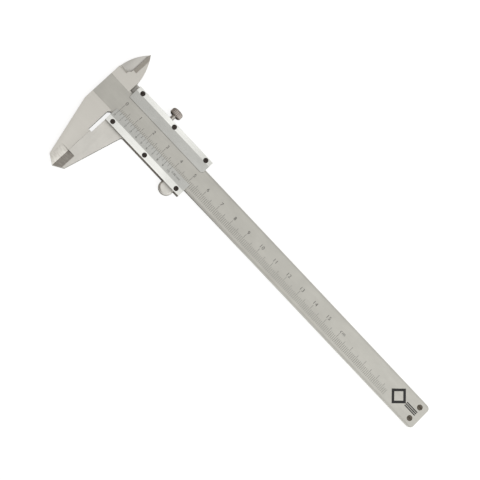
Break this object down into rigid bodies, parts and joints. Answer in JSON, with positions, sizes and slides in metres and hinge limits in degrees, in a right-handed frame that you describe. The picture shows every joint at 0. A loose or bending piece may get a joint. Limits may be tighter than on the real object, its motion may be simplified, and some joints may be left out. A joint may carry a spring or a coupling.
{
  "type": "vernier caliper",
  "caption": "Vernier caliper with outside jaws, crossed inside jaws, a sliding vernier frame with screwed front plates, a lock screw and a depth rod.",
  "frame": {"origin": "bottom centre of the closed caliper's bounding box, on the plane it rests on", "axes": "+X along the beam from the jaws to the tail, -Y towards the outside jaws, +Z out of the graduated face"},
  "size_m": [0.238, 0.0754, 0.0071],
  "materials": {
    "beam_steel": "satin, ground along the beam",
    "frame_steel": "satin",
    "plate_steel": "fine satin",
    "black_screw": "blackened steel",
    "dark_steel": "browned steel",
    "gib_brass": "machined",
    "lock_chrome": "plated, knurled"
  },
  "bodies": {
    "beam": {"main_beam": "beam_steel", "end_stop_plate": "frame_steel", "end_stop_screw_upper": "dark_steel", "end_stop_screw_lower": "dark_steel"},
    "slider": {"slider_frame": "frame_steel", "upper_front_plate": "plate_steel", "vernier_plate": "plate_steel", "upper_plate_screw_1": "black_screw", "upper_plate_screw_2": "black_screw", "upper_plate_screw_3": "black_screw", "vernier_plate_screw_1": "black_screw", "vernier_plate_screw_2": "black_screw", "vernier_plate_screw_3": "black_screw", "gib_strip": "gib_brass", "gib_screw_front": "dark_steel", "gib_screw_rear": "dark_steel", "depth_rod": "frame_steel", "depth_rod_rivet_front": "dark_steel", "depth_rod_rivet_rear": "dark_steel"},
    "lock_pad": {"lock_shoe": "gib_brass"},
    "lock_knob": {"lock_screw": "lock_chrome"}
  },
  "joints": [
    {"name": "slider_slide", "type": "slide", "parent": "beam", "child": "slider", "axis": [1, 0, 0], "range_m": [0, 0.16]},
    {"name": "lock_pad_travel", "type": "slide", "parent": "slider", "child": "lock_pad", "axis": [0, 1, 0], "range_m": [-0.000225, 0.00045]},
    {"name": "lock_screw_turn", "type": "hinge", "parent": "lock_pad", "child": "lock_knob", "pos_m": [-0.08145, 0.0222, 0.00344], "axis": [0, 1, 0], "range_deg": [-180, 360]}
  ],
  "couplings": [
    {"joint": "lock_screw_turn", "follows": "lock_pad_travel", "rad_per_m": 13963}
  ]
}
